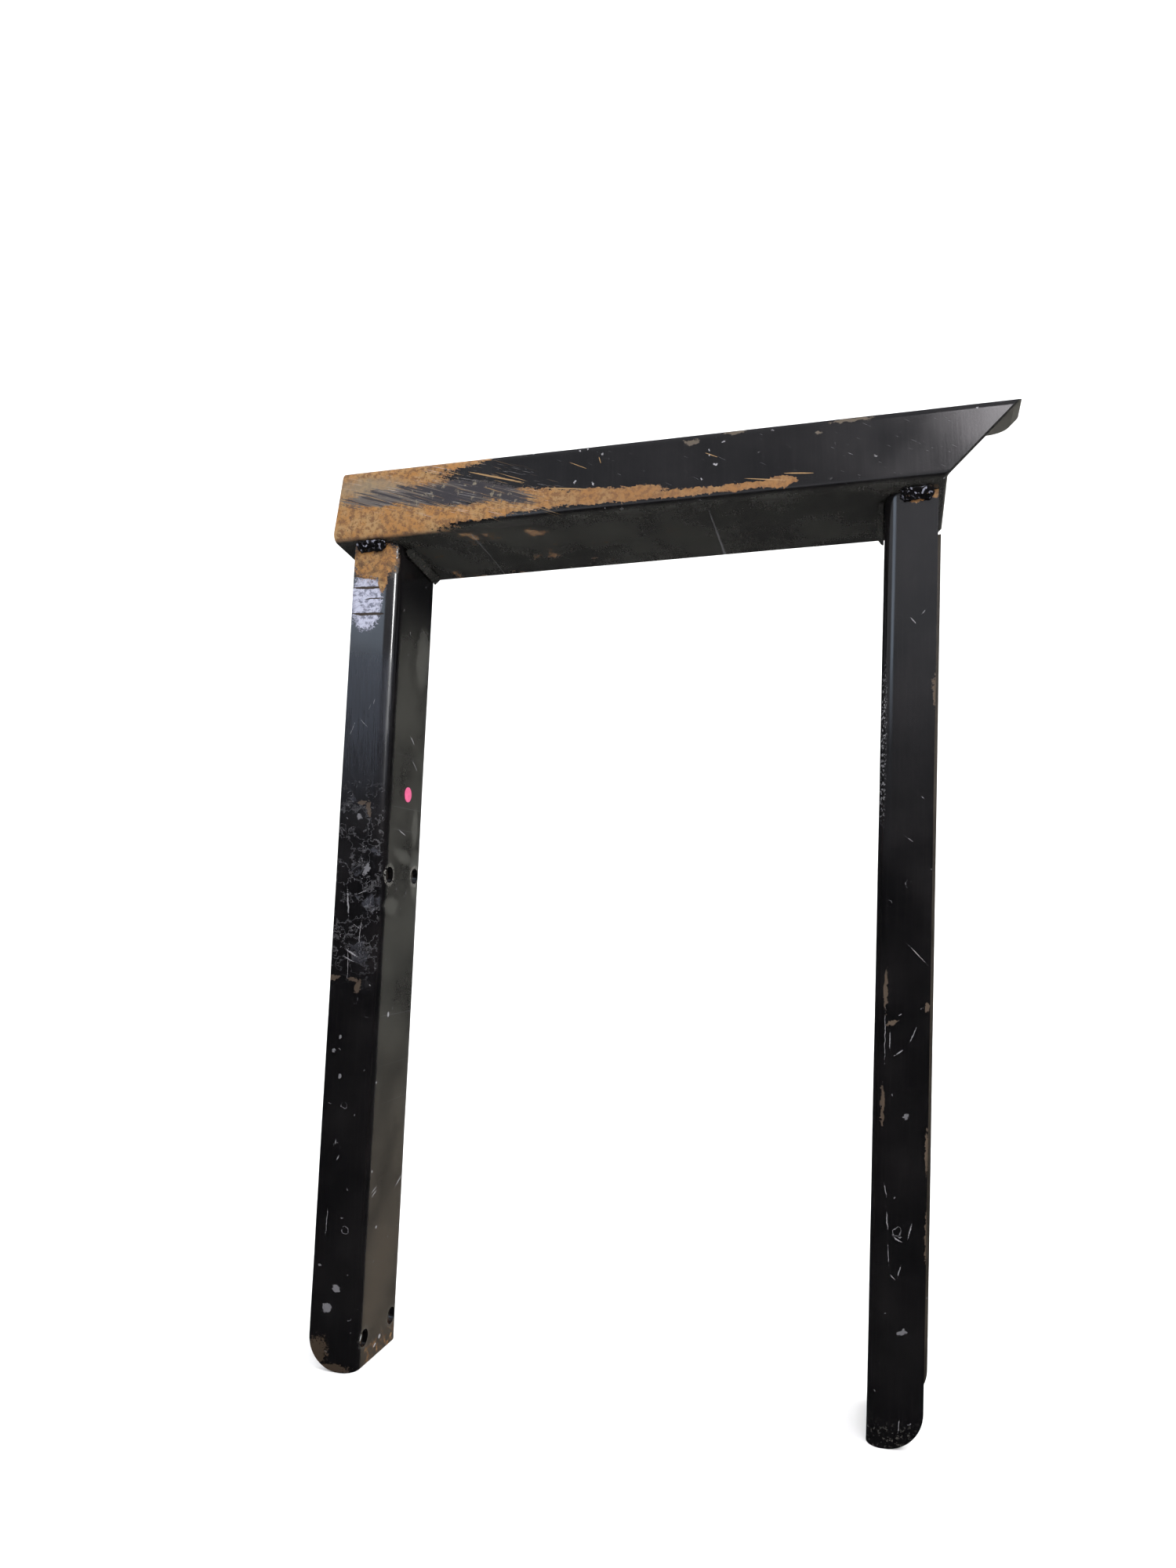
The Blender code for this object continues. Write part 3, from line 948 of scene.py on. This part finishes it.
def finish_left_leg():
    finish, where, height, back = start_leg("left_leg_worn_paint", left_high.x, -right)
    front = finish.rise(back, 7, 3)
    web_place = finish.node("ShaderNodeCombineXYZ", {}, {0: back, 1: height, 2: 0.0})
    inner = finish.rise(finish.facing(right), 0.7, 0.95)

    brushed = finish.rise(finish.streaks(where, 88, 30, 1.1, 3), 0.36, 0.62)
    # Painted sheen: a rougher scuffed band, tinted blue, carries the window's blue sheen down the left
    # leg's front.
    finish.lay(finish.rise(height, 430, 540) * finish.rise(height, 592, 572) * front
               * (0.30 + 0.50 * brushed), scuffed_blue_sheen, 0.42)
    # The torn film is pale blue-white, partly real torn paint and partly a painted reflection of the
    # left window.
    torn = wear_face(finish, where, front, [((27, 628), (17, 30), 0)], pale_flake_and_glint, 0.34, 0.85, 0.9)
    crumple = finish.grain(finish.warped(where, 8, 8), 3.4, 6, 0.7)
    finish.lay(torn * finish.rise(crumple, 0.46, 0.60), flake_shade, 0.30, 0.0, 0.10)
    tears = finish.strokes(finish.warped(where, 9, 3),
                           [((8, 639), (42, 639), 1.3), ((8, 616), (42, 617), 1.5),
                            ((10, 630), (30, 629), 0.6), ((16, 646), (42, 650), 1.2)])
    finish.lay(finish.rise(tears, 0.0, 0.3) * front, rust_dark, 0.6, 0.0, -0.10)
    rust(finish, wear_face(finish, where, front, [((22, 664), (24, 21), 0), ((13, 650), (5, 18), 0)],
                           rust_brown, 0.8), where)
    finish.lay(finish.rise(finish.grain(where, 8, 4), 0.50, 0.62)
               * finish.rise(height, 638, 648) * front * 0.5, rust_dark, 0.8)

    knocked = finish.rise(height, 490, 440) * finish.rise(height, 290, 350) * front
    folded = finish.warped(where, 16, 26)
    wisps = finish.rise(finish.grain(folded, 15, 5, 0.55), 0.500, 0.515)
    wisps = wisps * finish.rise(finish.grain(folded, 15, 5, 0.55), 0.550, 0.520)
    finish.lay(knocked * wisps * 0.36, chip_faint, 0.38)
    smears = finish.rise(finish.grain(folded, 24, 5, 0.6), 0.56, 0.66)
    finish.lay(knocked * smears * 0.42, smear_pale, 0.36)
    rings(finish, where, 9, 0.20, knocked * finish.rise(finish.grain(where, 30, 2), 0.48, 0.58),
          chip_faint)
    lower = finish.rise(height, 340, 300) * front
    rings(finish, where, 19, 0.12,
          lower * finish.rise(finish.grain(where, 40, 2), 0.44, 0.56), chip_faint)
    chips(finish, where, 13, 0.06, front * finish.rise(height, 470, 430), chip_faint)
    wear_face(finish, where, front, [((28, 264), (1.6, 2.4), 20), ((33, 253), (1.5, 2.4), 10),
                                     ((26, 232), (1.6, 2.2), 0), ((19, 65), (3.2, 4), -30),
                                     ((26, 49), (4.5, 4.5), 0), ((13, 402), (3, 6), 20),
                                     ((22, 445), (3, 2.5), 0)], chip_faint, 0.42, 0.9, 2.2)
    wear_face(finish, where, front,
              [((37, 312), (6, 2.4), -8), ((15, 305), (3.2, 7), 14), ((19, 311), (6, 2), 8),
               ((14, 452), (2.4, 8), -8), ((20, 457), (5, 2), 0)], rust_stain, 0.7, 0.6, 2.4)
    wear_face(finish, where, front, [((36, 12), (12, 18), 35), ((20, 3), (18, 4), 0)],
              rust_stain, 0.6, 0.45, 2.2)
    fine_marks(finish, where, front,
               [((14, 368), (17, 330), 0.5), ((24, 358), (12, 350), 0.5), ((26, 355), (30, 392), 1.4),
                ((12, 384), (20, 381), 0.6), ((32, 338), (12, 327), 1.2), ((34, 332), (16, 324), 0.7),
                ((25, 350), (25, 300), 0.4), ((16, 518), (30, 530), 0.4), ((17, 541), (20, 533), 0.4),
                ((13, 546), (16, 537), 0.4), ((30, 528), (36, 510), 0.4), ((27, 183), (27, 176), 0.5),
                ((22, 171), (26, 164), 0.7), ((30, 135), (31, 98), 0.4)])

    nicks = [((28, 281), (1.8, 2.6), 0), ((13, 227), (1.4, 1.2), 0), ((27, 107), (1.5, 1.3), 0),
             ((14, 155), (1.2, 1.2), 0), ((44, 13), (2.4, 2), 0), ((36, 9), (3, 1.2), 20)]
    finish.lay(finish.rise(finish.spots(web_place, nicks), 0.0, 0.4) * inner, chip_pale, 0.5)
    scuffs = finish.strokes(finish.warped(web_place, 6, 2),
                            [((14, 137), (24, 141), 0.5), ((15, 134), (25, 138), 0.5),
                             ((58, 131), (76, 142), 0.8), ((28, 437), (44, 432), 0.5),
                             ((40, 520), (52, 512), 0.5), ((46, 500), (60, 490), 0.4)])
    finish.lay(finish.rise(scuffs, 0.0, 0.4) * inner * 0.8, chip_pale, 0.5)
    wiped = finish.spots(finish.warped(web_place, 10, 9),
                         [((66, 398), (14, 30), 10), ((40, 414), (22, 7), -12), ((60, 440), (8, 22), 0),
                          ((22, 372), (16, 9), 0), ((58, 590), (16, 34), 0)])
    finish.lay(finish.rise(wiped, 0.0, 0.5) * inner * 0.5, web_smear, 0.45)
    hole_ovals = []
    for face in ("bolt_face_lower", "bolt_face_upper"):
        level = mounts[face]["pos_m"][2] * 1000
        for side in (-1, 1):
            hole_ovals.append(((leg_web * 500 + side * hole_pitch * 500, level), (10.5, 11), 0))
    halo = finish.rise(finish.spots(finish.warped(web_place, 5, 4), hole_ovals), 0.06, 0.22)
    spattered = finish.rise(finish.grain(where, 1.6, 5, 0.7), 0.44, 0.58)
    upper_only = finish.rise(height, 200, 300) * 0.75 + 0.25
    finish.lay(halo * spattered * inner * upper_only, hole_grit, 0.5, 0.1)
    return finish.close()


# %% The right leg


def finish_right_leg():
    finish, where, height, back = start_leg("right_leg_worn_paint", right_low.x, right)
    front = finish.rise(back, 7, 3)
    rings(finish, where, 26, 0.085, front * finish.rise(finish.grain(where, 60, 1), 0.44, 0.52),
          chip_faint)
    chips(finish, where, 16, 0.05, front, chip_faint)
    rust(finish, wear_face(finish, where, front, [((34, 704), (11, 8), 0), ((26, 698), (9, 4), 20)],
                           rust_brown, 0.8, 0.9) * 0.7, where, 0.08)
    wear_face(finish, where, front,
              [((8, 325), (1.6, 18), 0), ((13, 301), (5, 1.8), 20), ((7, 241), (1.6, 17), 0),
               ((38, 314), (2.0, 4), 0), ((39, 210), (1.4, 18), 0), ((40, 150), (1.4, 22), 0),
               ((41, 549), (4, 16), 0)], rust_stain, 0.7, 0.8, 2.4)
    wear_face(finish, where, front, [((24, 234), (2.6, 2.0), 20), ((24, 82), (4, 2), 20)],
              chip_faint, 0.45, 0.8, 2.4)
    edge_dust = finish.rise(finish.grain(where, 2.2, 5, 0.7), 0.52, 0.62)
    finish.lay(finish.rise(height, 580, 540) * finish.rise(height, 440, 470) * edge_dust
               * finish.rise(finish.facing(Vector((-0.8, -0.6, 0))), 0.93, 0.99) * 0.7, chip_pale, 0.5)
    battered = finish.rise(height, 26, 4) * finish.rise(finish.grain(where, 2.6, 5, 0.7), 0.54, 0.62)
    finish.lay(battered * 0.5, shelf_dust, 0.6)
    fine_marks(finish, where, front,
               [((19, 363), (41, 341), 0.6), ((13, 276), (24, 284), 0.8), ((24, 284), (32, 303), 0.6),
                ((11, 300), (12, 277), 0.7), ((8, 325), (8, 258), 0.35), ((16, 306), (21, 309), 0.5),
                ((26, 598), (20, 606), 0.7), ((28, 606), (33, 612), 0.4), ((9, 188), (12, 172), 0.6),
                ((11, 172), (13, 148), 0.7), ((13, 150), (26, 143), 1.0), ((26, 143), (30, 162), 0.8),
                ((13, 148), (14, 122), 0.4), ((14, 122), (19, 117), 0.6), ((19, 117), (23, 130), 0.6),
                ((30, 470), (34, 466), 0.5), ((18, 440), (28, 434), 0.35), ((22, 10), (24, 24), 0.5)])
    return finish.close()


left_finish = finish_left_leg()
right_finish = finish_right_leg()

# %% [markdown]
# ## Weld and vinyl
#
# The beads were painted with the frame. Paint is thin on a bead, so it has gone brown in spots.
# The front beads have pale glints painted on as painted highlights, and the rear ones carry a grey
# film of dust and painted reflection. The vinyl dot is matt, with a faint grain and a slightly
# dirty rim.

# %% Finish the beads and the dot
rim_radius = 6.6


def finish_beads():
    finish = Finish("painted_weld", black_gloss, 0.25)
    places = finish.place(rail_corner, (rail_along, rail_up, rail_back))
    where, back = places[0], places[3]
    enamel(finish, where)
    spatter = finish.grain(where, 2.5, 5, 0.7)
    # The rear beads' grey film is partly dust and partly a painted reflection, which lightens the inner
    # strip.
    film(finish, finish.rise(back, 12, 30) * 0.85, where, inner_dust_and_sheen, 0.30)
    rust(finish, finish.rise(spatter, 0.64, 0.72) * 0.7, where, 0.1)
    # Painted highlights: pale glints on the front beads, laid by noise.
    painted_glints = finish.rise(finish.grain(where, 3.5, 4, 0.6), 0.56, 0.64) * finish.rise(back, 14, 6)
    finish.lay(painted_glints * 0.55, pale_flake_and_glint, 0.25)
    return finish.close()


def finish_dot():
    finish = Finish("pink_vinyl", (0.60, 0.090, 0.210, 1), 0.5)
    where = finish.place(dot_middle, (backward, Vector((0, 0, 1)), right))[0]
    rim = finish.rise(finish.spot(where, (0, 0), (rim_radius, rim_radius)), 0.12, 0.0)
    finish.colour = finish.tint(finish.rise(finish.grain(where, 3, 5), 0.4, 0.7),
                                (0.62, 0.092, 0.215, 1), (0.54, 0.082, 0.190, 1))
    finish.lay(rim * 0.5, (0.32, 0.08, 0.14, 1), 0.6)
    finish.height = finish.grain(where, 0.5, 2) * 0.02
    return finish.close(0.3)


bead_finish = finish_beads()
dot_finish = finish_dot()

# %% [markdown]
# ## Dress the pieces and hand over
#
# Each piece gets its material and rides on the frame's one body, and the imported node it is modelled
# on is hidden.

# %% Assign, ride and finish
studio_glow = 0.12
dressed = [(rail, rail_finish, "rail_paint"), (left_leg, left_finish, "leg_paint"),
           (right_leg, right_finish, "leg_paint"), (dot, dot_finish, "sticker_vinyl")]
dressed += [(bead, bead_finish, "weld_metal") for bead in beads]
for piece, material, slot_name in dressed:
    piece.data.materials.clear()
    piece.data.materials.append(material)
    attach(piece, "root")
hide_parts("top_rail")
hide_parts("left_leg")
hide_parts("right_leg")

floor_finish = Finish("studio_sweep", (0.82, 0.82, 0.82, 1), 0.7)
floor.data.materials.append(floor_finish.close(0.2))
floor_finish.tree.nodes["Principled BSDF"].inputs["Emission Strength"].default_value = studio_glow

bpy.context.view_layer.update()
